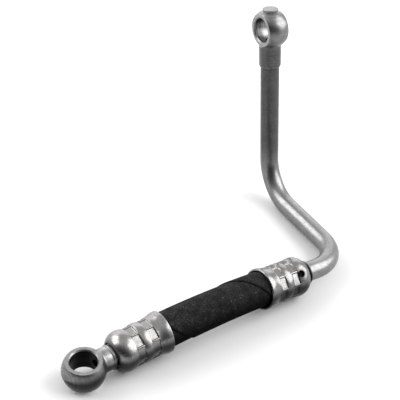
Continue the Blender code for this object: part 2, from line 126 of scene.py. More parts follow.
def turned(name, profile, faces):
    """Spin a closed loop of (station, radius) pairs. Points on the axis are merged into poles."""
    shape = bmesh.new()
    points = [shape.verts.new((radius, 0.0, station)) for station, radius in profile]
    edges = [shape.edges.new(pair) for pair in zip(points, points[1:])]
    if profile[0][1] > 0.0 or profile[-1][1] > 0.0:
        edges.append(shape.edges.new((points[-1], points[0])))
    bmesh.ops.spin(shape, geom=points + edges, cent=(0.0, 0.0, 0.0), axis=(0.0, 0.0, 1.0),
                   angle=2.0 * pi, steps=faces, use_merge=True)
    bmesh.ops.remove_doubles(shape, verts=shape.verts, dist=1.0e-7)
    bmesh.ops.recalc_face_normals(shape, faces=shape.faces)
    mesh = bpy.data.meshes.new(name)
    shape.to_mesh(mesh)
    shape.free()
    return mesh


def finish_piece(name, mesh, material, node):
    """Show a mesh as the piece that stands for one CAD node."""
    if mesh.materials:
        mesh.materials[0] = material
    else:
        mesh.materials.append(material)
    mesh.name = name
    mesh.shade_smooth()
    mesh.set_sharp_from_angle(angle=SHARP_ANGLE)
    piece = bpy.data.objects.new(name, mesh)
    bpy.context.scene.collection.objects.link(piece)
    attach(piece, "root")
    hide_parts(node)
    print(name, "has", len(mesh.polygons), "faces")


# %% [markdown]
# ## Geometry Nodes: trees built in a script
#
# The tube, the hose and the crimped ferrules each follow a rule, so they are made with Geometry Nodes.
# A tree's sizes are named inputs, so a size is changed without touching the tree. `start_tree` makes an
# empty tree with those inputs, `add_node` fills it, and `grow` runs it and keeps the result as a plain
# mesh. `math` and `vector_math` are short forms of `add_node`.

# %% Node helpers
def start_tree(name, sizes):
    """A tree with geometry in and out, a material input and one input for each named size."""
    tree = bpy.data.node_groups.new(name, "GeometryNodeTree")
    tree.interface.new_socket("Geometry", in_out="INPUT", socket_type="NodeSocketGeometry")
    tree.interface.new_socket("Finish", in_out="INPUT", socket_type="NodeSocketMaterial")
    for size, value in sizes.items():
        kind = {int: "NodeSocketInt", float: "NodeSocketFloat"}.get(type(value), "NodeSocketVector")
        tree.interface.new_socket(size, in_out="INPUT", socket_type=kind)
    tree.interface.new_socket("Geometry", in_out="OUTPUT", socket_type="NodeSocketGeometry")
    return tree, tree.nodes.new("NodeGroupInput").outputs


def add_node(tree, kind, *inputs, **settings):
    """Add a node, set its properties, then link or set its inputs in order. None leaves one alone."""
    node = tree.nodes.new(kind)
    for key, value in settings.items():
        setattr(node, key, value)
    open_sockets = [socket for socket in node.inputs if socket.enabled]
    for socket, value in zip(open_sockets, inputs):
        if isinstance(value, bpy.types.NodeSocket):
            tree.links.new(value, socket)
        elif value is not None:
            socket.default_value = value
    shown = [socket for socket in node.outputs if socket.enabled]
    return shown[0] if len(shown) == 1 else shown


def math(tree, operation, *inputs):
    return add_node(tree, "ShaderNodeMath", *inputs, operation=operation)


def vector_math(tree, operation, *inputs):
    return add_node(tree, "ShaderNodeVectorMath", *inputs, operation=operation)


def stored(tree, geometry, name, kind, value):
    """Keep a value on the points under a name."""
    return add_node(tree, "GeometryNodeStoreNamedAttribute", geometry, None, name, value, data_type=kind)


def read(tree, name, kind):
    return add_node(tree, "GeometryNodeInputNamedAttribute", name, data_type=kind)[0]


def end_tree(tree, geometry, finish):
    """Every tree ends by making its instances real and giving the result its finish."""
    real = add_node(tree, "GeometryNodeRealizeInstances", geometry)
    done = add_node(tree, "GeometryNodeSetMaterial", real, None, finish)
    tree.links.new(done, tree.nodes.new("NodeGroupOutput").inputs[0])


def grow(name, base, tree, finish, sizes):
    """Run a tree on a base mesh with the given sizes and return the result as a plain mesh."""
    seed = bpy.data.objects.new(name + "_base", base)
    bpy.context.scene.collection.objects.link(seed)
    modifier = seed.modifiers.new(name, "NODES")
    modifier.node_group = tree
    values = dict(sizes, Finish=finish)
    for socket in tree.interface.items_tree:
        if socket.in_out == "INPUT" and socket.name in values:
            modifier[socket.identifier] = values[socket.name]
    graph = bpy.context.evaluated_depsgraph_get()
    mesh = bpy.data.meshes.new_from_object(seed.evaluated_get(graph), preserve_all_data_layers=True,
                                           depsgraph=graph)
    bpy.data.objects.remove(seed)
    return mesh


def polyline(name, points, **values):
    """A mesh of points joined in a row, with one number on each point for every named list."""
    mesh = bpy.data.meshes.new(name)
    mesh.from_pydata([tuple(point) for point in points], [(i, i + 1) for i in range(len(points) - 1)], [])
    for key, numbers in values.items():
        mesh.attributes.new(key, "FLOAT", "POINT").data.foreach_set("value", numbers)
    return mesh


# %% [markdown]
# ## Finishes: what the surfaces are made of
#
# All the metal here is zinc-plated steel. Zinc grows in crystals, so even bare plating isn't one grey:
# it is mottled in patches of a few millimetres and grainy at half a millimetre. A photographed texture
# would need a seam somewhere, so both come from noise in true metres. It drives colour and roughness
# together, because a rougher crystal also looks duller, and its finest grains drive the bump too. Turned
# pieces also carry the fine rings that the lathe tool left.
#
# `around` measures a surface point against an axis: its station along the axis and its distance from
# it. With those two numbers a finish can follow the lathe, or know that it is inside a bore.

# %% Finish helpers
RING_PITCH = 0.00032


def start_finish(name, metallic):
    material = bpy.data.materials.new(name)
    material.use_nodes = True
    tree = material.node_tree
    shader = tree.nodes["Principled BSDF"]
    shader.inputs["Metallic"].default_value = metallic
    place = add_node(tree, "ShaderNodeTexCoord")[3]
    return material, tree, shader, place


def noise(tree, place, size, detail):
    """Noise whose features are about one size across, in metres."""
    return add_node(tree, "ShaderNodeTexNoise", place, 1.0 / size, detail)[0]


def ranged(tree, value, low, high, to_low, to_high):
    return add_node(tree, "ShaderNodeMapRange", value, low, high, to_low, to_high)


def soft_ranged(tree, value, low, high, to_low, to_high):
    return add_node(tree, "ShaderNodeMapRange", value, low, high, to_low, to_high,
                    interpolation_type="SMOOTHSTEP")


def product(tree, *values):
    result = values[0]
    for value in values[1:]:
        result = math(tree, "MULTIPLY", result, value)
    return result


def around(tree, place, origin, axis):
    """Station along an axis and distance from it."""
    offset = vector_math(tree, "SUBTRACT", place, tuple(origin))
    station = vector_math(tree, "DOT_PRODUCT", offset, tuple(axis))
    away = vector_math(tree, "SUBTRACT", offset, vector_math(tree, "SCALE", tuple(axis), station))
    return station, vector_math(tree, "LENGTH", away)


def lathe_lines(tree, station):
    """Fine tool marks: noise that changes only with the station."""
    return add_node(tree, "ShaderNodeTexNoise", station, 1.0 / RING_PITCH, 2.0, noise_dimensions="1D")[0]


# %% [markdown]
# The plating's three grains are named first, and one function lays them over any steel piece. The drawn
# tube is the plainest of them. Its tall leg is painted darker as shade: the tone falls with the height
# above the second bend.

# %% Steel finish
PATCH_SIZE = 0.0030
CRYSTAL_SIZE = 0.00055
SPECK_SIZE = 0.00026
LEG_SHADE_START = 0.010
LEG_SHADE_END = 0.028
SHADED_LEG_TONE = 0.37


def plated_steel(tree, shader, place, colour, roughness, grain, shade, rings=None, ring_depth=0.0):
    """Zinc-plated steel: mottled, grainy, and with lathe rings on a turned piece."""
    patches = noise(tree, place, PATCH_SIZE, 3.0)
    crystals = noise(tree, place, CRYSTAL_SIZE, 2.0)
    specks = noise(tree, place, SPECK_SIZE, 1.0)
    tone = product(tree, ranged(tree, patches, 0.30, 0.70, 0.90, 1.10),
                   ranged(tree, crystals, 0.30, 0.70, 0.84, 1.16),
                   ranged(tree, specks, 0.25, 0.75, 0.88, 1.12), shade)
    tree.links.new(vector_math(tree, "SCALE", colour, tone), shader.inputs["Base Color"])
    rough = math(tree, "ADD", ranged(tree, crystals, 0.30, 0.70, roughness + 0.04, roughness - 0.03),
                 ranged(tree, patches, 0.30, 0.70, 0.03, -0.03))
    tree.links.new(rough, shader.inputs["Roughness"])
    height = math(tree, "ADD", crystals, math(tree, "MULTIPLY", specks, 0.3))
    bump = add_node(tree, "ShaderNodeBump", 1.0, grain, None, height)
    if rings is not None:
        bump = add_node(tree, "ShaderNodeBump", 1.0, ring_depth, None, rings, bump)
    tree.links.new(bump, shader.inputs["Normal"])


def drawn_tube_finish():
    material, tree, shader, place = start_finish("drawn_tube_steel", 1.0)
    height = add_node(tree, "ShaderNodeSeparateXYZ", place)[2]
    # Painted shade: the tube's tone falls with the height above the second bend.
    leg_shade = soft_ranged(tree, height, LEG_SHADE_START, LEG_SHADE_END, 1.0, SHADED_LEG_TONE)
    plated_steel(tree, shader, place, (0.205, 0.204, 0.203), 0.34, 0.000005, leg_shade)
    return material


pipe_steel = drawn_tube_finish()
print("tube finish has", len(pipe_steel.node_tree.nodes), "nodes")

# %% [markdown]
# ## Rubber
#
# The hose was cured under a wrapped cloth, which leaves a fine woven print on black, matt rubber. The
# print is two sets of threads laid along and round the hose, so it uses the hose's own coordinates:
# `run` is the distance along it and `turn` the angle round it. Talc stays in the print as pale specks.
# The tone is painted darker from the top down as shade, nearly black below; the talc specks fade with it.

# %% Rubber finish
HOSE_RADIUS = 0.0073
THREAD_PITCH = 0.0008


def cloth_cured_rubber():
    material, tree, shader, place = start_finish("cloth_cured_rubber", 0.0)
    run = add_node(tree, "ShaderNodeAttribute", attribute_name="run")[2]
    turn = add_node(tree, "ShaderNodeAttribute", attribute_name="turn")[2]
    lap = add_node(tree, "ShaderNodeAttribute", attribute_name="lap")[2]
    girth = math(tree, "MULTIPLY", turn, HOSE_RADIUS)
    threads = 2.0 * pi / THREAD_PITCH
    warp = math(tree, "SINE", math(tree, "MULTIPLY", math(tree, "ADD", run, girth), threads))
    weft = math(tree, "SINE", math(tree, "MULTIPLY", math(tree, "SUBTRACT", run, girth), threads))
    weave = math(tree, "MULTIPLY", warp, weft)
    patches = noise(tree, place, 0.0035, 3.0)
    grit = noise(tree, place, 0.00050, 2.0)
    dust = noise(tree, place, 0.00042, 1.0)
    seam = product(tree, ranged(tree, lap, 0.0, 0.016, 0.08, 1.0), ranged(tree, lap, 0.985, 1.0, 1.0, 0.2))
    centre = add_node(tree, "ShaderNodeAttribute", attribute_name="centre")[1]
    above = add_node(tree, "ShaderNodeSeparateXYZ", vector_math(tree, "SUBTRACT", place, centre))[2]
    # Painted shade: darker from the top down to nearly black underneath.
    underside_shade = soft_ranged(tree, above, -0.0022, 0.0062, 0.03, 1.0)
    tone = product(tree, ranged(tree, patches, 0.30, 0.70, 0.7, 1.3),
                   ranged(tree, grit, 0.30, 0.70, 0.40, 1.60),
                   ranged(tree, weave, -1.0, 1.0, 0.8, 1.2), seam, underside_shade)
    talc = product(tree, ranged(tree, dust, 0.61, 0.74, 0.0, 0.075),
                   ranged(tree, patches, 0.40, 0.62, 0.0, 1.0), seam, underside_shade)
    grey = math(tree, "ADD", math(tree, "MULTIPLY", tone, 0.0150), talc)
    shader.inputs["Specular IOR Level"].default_value = 0.02
    tree.links.new(vector_math(tree, "SCALE", (1.0, 1.0, 1.04), grey), shader.inputs["Base Color"])
    tree.links.new(ranged(tree, grit, 0.30, 0.70, 0.82, 0.62), shader.inputs["Roughness"])
    height = math(tree, "ADD", math(tree, "MULTIPLY", weave, 0.15), grit)
    bump = add_node(tree, "ShaderNodeBump", 1.0, 0.00012, None, height)
    tree.links.new(bump, shader.inputs["Normal"])
    return material


hose_rubber = cloth_cured_rubber()
print("rubber finish has", len(hose_rubber.node_tree.nodes), "nodes")

# %% [markdown]
# ## The bent tube
#
# A fitter bends straight 8 mm tube round a former, so its centre line is straight runs joined by arcs
# of one radius. It could be drawn as a Bezier curve with a bevel, but then each arc is only nearly
# round. The Fillet Curve node does what the bending tool does: it takes the corner points and rounds
# each with a true arc, and Curve to Mesh sweeps a circle along the result.

# %% Tube
PIPE_SIZES = {"Pipe Radius": 0.0040, "Bend Radius": 0.0177, "Bend Steps": 32, "Faces": 72}
TUBE_FROM_NOSE = 0.0024
TUBE_FROM_EYE = 0.0172
PIPE_START = UPPER_NOSE + FALL * TUBE_FROM_NOSE
PIPE_END = UPPER_EYE - LEG * TUBE_FROM_EYE


def pipe_tree():
    tree, given = start_tree("bent tube", PIPE_SIZES)
    line = add_node(tree, "GeometryNodeMeshToCurve", given["Geometry"])
    bent = add_node(tree, "GeometryNodeFilletCurve", line, given["Bend Steps"], given["Bend Radius"],
                    mode="POLY")
    circle = add_node(tree, "GeometryNodeCurvePrimitiveCircle", given["Faces"], given["Pipe Radius"])
    tube = add_node(tree, "GeometryNodeCurveToMesh", bent, circle)
    tree.nodes[-1].inputs["Fill Caps"].default_value = True
    end_tree(tree, tube, given["Finish"])
    return tree


tube = grow("bent_tube", polyline("tube_line", [PIPE_START, ELBOW, KNEE, PIPE_END]),
            pipe_tree(), pipe_steel, PIPE_SIZES)
finish_piece("bent_tube", tube, pipe_steel, "bent_pipe")

# %% [markdown]
# ## The crimped ferrules
#
# A ferrule is a thin steel cup. It is slipped over the hose, and nine jaws close round it twice, which
# leaves two grooves of nine flats each. Between two jaws the squeezed metal stands up as a thin ridge.
# The cup is a lathe shape and the crimp is a rule on top of it: sweep a profile round a circle, then
# move each point inwards by an amount that depends on its station and its angle.

# %% Ferrule profile
FERRULE_LENGTH = 0.0225
FERRULE_WALL = 0.00075
NOSE_THICKNESS = 0.0014
NOSE_RADIUS = 0.0053
NOSE_BORE_RADIUS = 0.00495
NOSE_EDGE = 0.00008
NOSE_FLARE = 0.0009
CROWN_STATION = 0.0044
CROWN_RADIUS = 0.00805
DOME_RISE = 0.00545
DOME_START = asin(1.0 - (CROWN_RADIUS - NOSE_RADIUS) / DOME_RISE)
DOME_REACH = CROWN_STATION / cos(DOME_START)
SHOULDER_RADIUS = 0.0076
RIB_RADIUS = 0.0078
RIB_CROWN = 0.00022
BELL_RADIUS = 0.00835
FIRST_GROOVE = 0.0089
SECOND_GROOVE = 0.0154
RIB_STATION = (FIRST_GROOVE + SECOND_GROOVE) / 2.0
GROOVE_WIDTH = 0.0033
GROOVE_RADIUS = 0.0070
GROOVE_FLOOR = 0.0015
GROOVE_FOOT = 0.0045
BELL_STATION = 0.0215
MOUTH_EDGE = 0.0004
MOUTH_CHAMFER = 0.0001
MOUTH_STEPS = 4
OUTLINE_STEP = 0.00015
CORE_RADIUS = 0.0001
CLEARANCE = 0.0003


def dome(start, wall, steps):
    """Points of the elliptical dome from a polar angle to its crown, a wall inside its skin."""
    angles = [start + (pi / 2.0 - start) * i / steps for i in range(steps + 1)]
    return [(CROWN_STATION - (DOME_REACH - wall) * cos(angle),
             CROWN_RADIUS - DOME_RISE + (DOME_RISE - wall) * sin(angle)) for angle in angles]


def ferrule_outside(station):
    """Radius of the cup from its crown to its mouth, before it is crimped."""
    half = GROOVE_WIDTH / 2.0
    if station < FIRST_GROOVE - half:
        share = (station - CROWN_STATION) / (FIRST_GROOVE - half - CROWN_STATION)
        return CROWN_RADIUS - (CROWN_RADIUS - SHOULDER_RADIUS) * share ** 2
    if station < SECOND_GROOVE + half:
        share = (station - RIB_STATION) / (SECOND_GROOVE - half - RIB_STATION)
        return RIB_RADIUS - RIB_CROWN * min(1.0, share ** 2)
    share = min(1.0, (station - SECOND_GROOVE - half) / (BELL_STATION - SECOND_GROOVE - half))
    flare_start = RIB_RADIUS - RIB_CROWN
    return flare_start + (BELL_RADIUS - flare_start) * (1.0 - cos(pi * share)) / 2.0


def ferrule_cavity(inset):
    """Inner wall from the nose to the mouth, drawn in by an inset where the hose follows it."""
    wall = FERRULE_WALL + inset
    start = acos((CROWN_STATION - NOSE_THICKNESS - inset) / (DOME_REACH - wall))
    floor_radius, floor_half = GROOVE_RADIUS - wall, GROOVE_FLOOR / 2.0
    return dome(start, wall, 8) + [
        (FIRST_GROOVE - GROOVE_FOOT / 2.0, SHOULDER_RADIUS - wall),
        (FIRST_GROOVE - floor_half, floor_radius), (FIRST_GROOVE + floor_half, floor_radius),
        (RIB_STATION, RIB_RADIUS - wall),
        (SECOND_GROOVE - floor_half, floor_radius), (SECOND_GROOVE + floor_half, floor_radius),
        (BELL_STATION, BELL_RADIUS - wall)]


def ferrule_loop():
    """The whole closed outline: outside, rounded mouth, inner wall, and the nose with its rounded edge."""
    loop = dome(DOME_START, 0.0, 20)[:-1]
    run = FERRULE_LENGTH - MOUTH_EDGE - CROWN_STATION
    count = int(run / OUTLINE_STEP)
    loop += [(CROWN_STATION + run * i / count, ferrule_outside(CROWN_STATION + run * i / count))
             for i in range(count + 1)]
    for i in range(1, MOUTH_STEPS + 1):
        angle = pi / 2.0 * i / MOUTH_STEPS
        loop.append((FERRULE_LENGTH - MOUTH_EDGE + MOUTH_EDGE * sin(angle),
                     BELL_RADIUS - MOUTH_EDGE + MOUTH_EDGE * cos(angle)))
    loop += [(FERRULE_LENGTH, BELL_RADIUS - FERRULE_WALL + MOUTH_CHAMFER),
             (FERRULE_LENGTH - MOUTH_CHAMFER, BELL_RADIUS - FERRULE_WALL)]
    nose = [(NOSE_THICKNESS, NOSE_BORE_RADIUS), (NOSE_FLARE, NOSE_BORE_RADIUS),
            (NOSE_EDGE / 2.0, NOSE_RADIUS - NOSE_EDGE)]
    return loop + ferrule_cavity(0.0)[::-1] + nose


print("ferrule outline has", len(ferrule_loop()), "points")

# %% [markdown]
# The crimp rule: `press` is 1 inside a groove and 0 outside it, with a steep wall between. `ridge` is
# 1 where two jaws meet and 0 on a flat. A flat's distance from the axis grows as 1 / cos towards its
# ends, which is what makes it flat. Only points outside the skin limit are pressed, so that the inner
# wall keeps its own shape.

# %% Ferrule tree
SKIN_LIMIT = 0.0074
FERRULE_SIZES = {"Jaws": 9, "Jaw Angle": 0.0, "Groove Radius": GROOVE_RADIUS, "Ridge Radius": 0.00768,
                 "Groove Width": GROOVE_WIDTH, "Wall Slope": 0.00034, "First Groove": FIRST_GROOVE,
                 "Second Groove": SECOND_GROOVE, "Ridge Half Angle": radians(3.6), "Columns": 360}
print("each jaw spans", 360.0 / FERRULE_SIZES["Jaws"], "degrees")


def ferrule_tree():
    tree, given = start_tree("crimped ferrule", FERRULE_SIZES)
    outline = add_node(tree, "GeometryNodeMeshToCurve", given["Geometry"])
    closed = add_node(tree, "GeometryNodeSetSplineCyclic", outline, None, True)
    ring = add_node(tree, "GeometryNodeCurvePrimitiveCircle", given["Columns"], CORE_RADIUS)
    cup = add_node(tree, "GeometryNodeCurveToMesh", ring, closed)
    place = add_node(tree, "GeometryNodeInputPosition")
    parts = add_node(tree, "ShaderNodeSeparateXYZ", place)
    radius = math(tree, "SQRT", math(tree, "ADD", math(tree, "MULTIPLY", parts[0], parts[0]),
                                     math(tree, "MULTIPLY", parts[1], parts[1])))
    angle = math(tree, "SUBTRACT", math(tree, "ARCTAN2", parts[1], parts[0]), given["Jaw Angle"])
    jaw = math(tree, "DIVIDE", 2.0 * pi, given["Jaws"])
    half_jaw = math(tree, "DIVIDE", jaw, 2.0)
    from_middle = math(tree, "SUBTRACT", math(tree, "FLOORED_MODULO", angle, jaw), half_jaw)
    from_joint = math(tree, "SUBTRACT", half_jaw, math(tree, "ABSOLUTE", from_middle))
    flat = math(tree, "DIVIDE", given["Groove Radius"], math(tree, "COSINE", from_middle))
    half_width = math(tree, "DIVIDE", given["Groove Width"], 2.0)
    nearest = math(tree, "MINIMUM",
                   math(tree, "ABSOLUTE", math(tree, "SUBTRACT", parts[2], given["First Groove"])),
                   math(tree, "ABSOLUTE", math(tree, "SUBTRACT", parts[2], given["Second Groove"])))
    press = add_node(tree, "ShaderNodeMapRange", nearest,
                     math(tree, "SUBTRACT", half_width, given["Wall Slope"]), half_width, 1.0, 0.0,
                     interpolation_type="SMOOTHSTEP")
    ridge_top = math(tree, "MULTIPLY", given["Ridge Half Angle"], 0.35)
    ridge = add_node(tree, "ShaderNodeMapRange", from_joint, ridge_top, given["Ridge Half Angle"], 1.0, 0.0,
                     interpolation_type="SMOOTHSTEP")
    pressed = add_node(tree, "ShaderNodeMix", ridge, flat, given["Ridge Radius"], data_type="FLOAT")
    target = add_node(tree, "ShaderNodeMix", press, radius, pressed, data_type="FLOAT")
    outer = math(tree, "GREATER_THAN", radius, SKIN_LIMIT)
    reach = add_node(tree, "ShaderNodeMix", outer, radius, target, data_type="FLOAT")
    scale = math(tree, "DIVIDE", reach, radius)
    moved = add_node(tree, "ShaderNodeCombineXYZ", math(tree, "MULTIPLY", parts[0], scale),
                     math(tree, "MULTIPLY", parts[1], scale), parts[2])
    crimped = add_node(tree, "GeometryNodeSetPosition", cup, None, moved)
    crimped = stored(tree, crimped, "pressed", "FLOAT", math(tree, "MULTIPLY", press, outer))
    end_tree(tree, crimped, given["Finish"])
    return tree


# %% [markdown]
# The jaws burnish what they press, so the flats are a little brighter than the rest. In the corners
# beside them the tone is painted darker as shade. The tree kept `pressed` on the points for this: 1 on a
# flat, 0 elsewhere, and between 0 and 1 on the walls. Near the axis, on the nose and in its bore, the
# tone is painted darker as shade too.
#
# The flanks carry painted shade as well. From a little above the piece's own axis downwards the tone is
# painted darker, less so on the burnished flats, and at the very bottom it is painted a little lighter
# again, as a painted reflection of the floor. The function below gives that as a share of the clean
# tone, from a point's height beside the piece's own axis.

# %% Ferrule finish
HOLE_STATION = 0.0060
HOLE_TURN = radians(-31.0)
HOLE_RADIUS = 0.0014
HOLE_DARK_REACH = 0.0024
HOLE_OUTWARD = placing(UPPER_NOSE, -FALL, BOW).to_3x3() @ Vector((cos(HOLE_TURN), sin(HOLE_TURN), 0.0))


def painted_flank_shade(tree, place, origin, axis, darkest):
    """Painted shade: 1 on top, down to the darkest share on the flanks, and a painted reflection at the
    bottom.
    """
    station, reach = around(tree, place, origin, axis)
    axis_height = math(tree, "ADD", math(tree, "MULTIPLY", station, axis.z), origin.z)
    below = math(tree, "SUBTRACT", axis_height, add_node(tree, "ShaderNodeSeparateXYZ", place)[2])
    share = math(tree, "DIVIDE", below, reach)
    flank_dark = soft_ranged(tree, share, -0.55, -0.05, 1.0, darkest)
    return math(tree, "ADD", flank_dark, soft_ranged(tree, share, 0.20, 0.70, 0.0, 0.15))


def ferrule_finish(name, origin, forward, level, hole=None):
    material, tree, shader, place = start_finish(name, 1.0)
    pressed = add_node(tree, "ShaderNodeAttribute", attribute_name="pressed")[2]
    station, reach = around(tree, place, origin, forward)
    # Painted shade in the corners of the grooves.
    crease_shade = product(tree, pressed, math(tree, "SUBTRACT", 1.0, pressed), 4.0)
    # Painted shade on the flanks, lifted a little on the burnished flats.
    flank_shade = painted_flank_shade(tree, place, origin, forward, 0.14)
    flat_shade_lift = product(tree, pressed, math(tree, "SUBTRACT", 1.0, flank_shade), 0.22)
    # The nose and its bore, near the axis, are painted darker as shade.
    shade = product(tree, ranged(tree, pressed, 0.0, 1.0, 1.0, 1.12),
                    ranged(tree, crease_shade, 0.1, 0.9, 1.0, 0.22),
                    soft_ranged(tree, reach, 0.0050, 0.0068, 0.25, 1.0), math(tree, "ADD", flank_shade, flat_shade_lift))
    if hole is not None:
        from_hole = around(tree, place, origin + forward * HOLE_STATION, hole)[1]
        # The tone is darker round the witness hole, fading out a little way from its edge.
        shade = math(tree, "MULTIPLY", shade, soft_ranged(tree, from_hole, HOLE_RADIUS, HOLE_DARK_REACH, 0.4, 1.0))
    lines = lathe_lines(tree, station)
    shade = product(tree, shade, ranged(tree, lines, 0.30, 0.70, 0.90, 1.10))
    colour = (level, level * 0.992, level * 0.98)
    plated_steel(tree, shader, place, colour, 0.27, 0.000006, shade, lines, 0.000008)
    return material


# Both cups are the same steel; the upper cup's lower level is painted shade.
lower_cup_steel = ferrule_finish("lower_cup_steel", LOWER_NOSE, RISE, 0.228)
upper_cup_steel = ferrule_finish("upper_cup_steel", UPPER_NOSE, -FALL, 0.200, HOLE_OUTWARD)
for steel in (lower_cup_steel, upper_cup_steel):
    print(steel.name, "has", len(steel.node_tree.nodes), "nodes")

# %% [markdown]
# Only the upper cup has a witness hole, through which a fitter sees that the hose is fully home. It is
# drilled after crimping, so here too it is cut into the finished mesh.

# %% Ferrules
HOLE_FLOOR = 0.0062
HOLE_TOP = 0.0090


def milled(body, cutter):
    """The body less the cutter, as a new mesh."""
    blank = bpy.data.objects.new("blank", body)
    mill = bpy.data.objects.new("mill", cutter)
    for item in (blank, mill):
        bpy.context.scene.collection.objects.link(item)
    boolean = blank.modifiers.new("mill", "BOOLEAN")
    boolean.operation = "DIFFERENCE"
    boolean.object = mill
    boolean.solver = "EXACT"
    graph = bpy.context.evaluated_depsgraph_get()
    mesh = bpy.data.meshes.new_from_object(blank.evaluated_get(graph), preserve_all_data_layers=True,
                                           depsgraph=graph)
    bpy.data.objects.remove(blank)
    bpy.data.objects.remove(mill)
    return mesh


def drill(mesh, name, origin, direction, radius, near, far):
    """Cut a straight round hole into a mesh, between two distances from an origin."""
    bit = turned(name, [(near, 0.0), (near, radius), (far, radius), (far, 0.0)], 48)
    bit.transform(placing(origin, direction, ALONG))
    return milled(mesh, bit)


def make_ferrule(name, node, origin, forward, jaw_angle, finish, hole=None):
    loop = ferrule_loop()
    base = bpy.data.meshes.new(name + "_outline")
    base.from_pydata([(radius - CORE_RADIUS, -station, 0.0) for station, radius in loop],
                     [(i, i + 1) for i in range(len(loop) - 1)], [])
    sizes = dict(FERRULE_SIZES, **{"Jaw Angle": radians(jaw_angle)})
    mesh = grow(name, base, ferrule_tree(), finish, sizes)
    mesh.transform(placing(origin, forward, BOW))
    if hole is not None:
        start = origin + forward * HOLE_STATION
        mesh = drill(mesh, name + "_bit", start, hole, HOLE_RADIUS, HOLE_FLOOR, HOLE_TOP)
    finish_piece(name, mesh, finish, node)


make_ferrule("lower_crimped_cup", "lower_ferrule", LOWER_NOSE, RISE, 3.0, lower_cup_steel)
make_ferrule("upper_crimped_cup", "upper_ferrule", UPPER_NOSE, -FALL, 20.0, upper_cup_steel, HOLE_OUTWARD)

# %% [markdown]
# ## The hose
#
# The hose is built up on a mandrel: an inner tube, then a cover strip wound on in a spiral. The strip's
# edge leaves one low step that winds round the hose. A bump map could only pretend that step. Here each
# ring of points starts at the seam and the radius grows by the strip's thickness over one turn, so the
# step is real and lies on the spiral.

# %% Hose
HOSE_SIZES = {"Faces": 96, "Rings": 320, "Lap Step": 0.0004, "Lap Pitch": 0.0425, "Lap Start": radians(28.0),
              "Lap Edge": radians(1.5), "Bow Side": tuple(ACROSS), "Unevenness": 0.00008}
HOSE_LENGTH = 0.0467
HOSE_TURN = radians(10.0)
HOSE_BEND_RADIUS = HOSE_LENGTH / HOSE_TURN
HOSE_STEPS = 40
LUMP_RADIUS = 0.007
LUMP_SCALE = 260.0


def hose_points():
    """Centre points and outer radii: inside the lower cup, along the bow, inside the upper cup."""
    necked = ferrule_cavity(CLEARANCE)
    rows = [(LOWER_NOSE + RISE * station, radius) for station, radius in necked]
    half = HOSE_TURN / 2.0
    for step in range(HOSE_STEPS + 1):
        angle = -half + HOSE_TURN * step / HOSE_STEPS
        point = (LOWER_MOUTH + ALONG * HOSE_BEND_RADIUS * (sin(angle) + sin(half))
                 + BOW * HOSE_BEND_RADIUS * (cos(angle) - cos(half)))
        rows.append((point, HOSE_RADIUS))
    rows += [(UPPER_NOSE - FALL * station, radius) for station, radius in reversed(necked)]
    return rows


def hose_tree():
    tree, given = start_tree("wound hose", HOSE_SIZES)
    line = add_node(tree, "GeometryNodeMeshToCurve", given["Geometry"])
    line = add_node(tree, "GeometryNodeResampleCurve", line, None, given["Rings"])
    parameter = add_node(tree, "GeometryNodeSplineParameter")
    line = stored(tree, line, "run", "FLOAT", parameter[1])
    line = stored(tree, line, "centre", "FLOAT_VECTOR", add_node(tree, "GeometryNodeInputPosition"))
    line = stored(tree, line, "forward", "FLOAT_VECTOR", add_node(tree, "GeometryNodeInputTangent"))
    circle = add_node(tree, "GeometryNodeCurvePrimitiveCircle", given["Faces"], HOSE_RADIUS)
    circle = stored(tree, circle, "round", "FLOAT", parameter[0])
    skin = add_node(tree, "GeometryNodeCurveToMesh", line, circle)
    tree.nodes[-1].inputs["Fill Caps"].default_value = True
    run = math(tree, "SUBTRACT", read(tree, "run", "FLOAT"), FERRULE_LENGTH - NOSE_THICKNESS - CLEARANCE)
    last = math(tree, "DIVIDE", given["Faces"], math(tree, "SUBTRACT", given["Faces"], 1.0))
    share = math(tree, "MULTIPLY", read(tree, "round", "FLOAT"), last)
    seam = math(tree, "ADD", given["Lap Start"],
                math(tree, "MULTIPLY", math(tree, "DIVIDE", run, given["Lap Pitch"]), 2.0 * pi))
    span = math(tree, "SUBTRACT", 2.0 * pi, given["Lap Edge"])
    angle = math(tree, "ADD", math(tree, "ADD", seam, math(tree, "DIVIDE", given["Lap Edge"], 2.0)),
                 math(tree, "MULTIPLY", span, share))
    drop = math(tree, "MULTIPLY", given["Lap Step"], math(tree, "SUBTRACT", 1.0, share))
    reach = math(tree, "SUBTRACT", read(tree, "girth", "FLOAT"), drop)
    upward = vector_math(tree, "CROSS_PRODUCT", given["Bow Side"], read(tree, "forward", "FLOAT_VECTOR"))
    arm = vector_math(tree, "ADD",
                      vector_math(tree, "SCALE", upward, math(tree, "COSINE", angle)),
                      vector_math(tree, "SCALE", given["Bow Side"], math(tree, "SINE", angle)))
    centre = read(tree, "centre", "FLOAT_VECTOR")
    near_skin = vector_math(tree, "ADD", centre, vector_math(tree, "MULTIPLY", arm, (LUMP_RADIUS,) * 3))
    lumps = add_node(tree, "ShaderNodeTexNoise", near_skin, LUMP_SCALE, 1.0)[0]
    uneven = math(tree, "MULTIPLY", math(tree, "SUBTRACT", lumps, 0.5), given["Unevenness"])
    reach = math(tree, "ADD", reach, uneven)
    place = vector_math(tree, "ADD", centre, vector_math(tree, "SCALE", arm, reach))
    shaped = add_node(tree, "GeometryNodeSetPosition", skin, None, place)
    shaped = stored(tree, shaped, "lap", "FLOAT", share)
    shaped = stored(tree, shaped, "turn", "FLOAT", angle)
    end_tree(tree, shaped, given["Finish"])
    return tree


rows = hose_points()
centres, radii = zip(*rows)
base = polyline("hose_line", centres, girth=radii)
finish_piece("wound_hose", grow("wound_hose", base, hose_tree(), hose_rubber, HOSE_SIZES),
             hose_rubber, "hose")

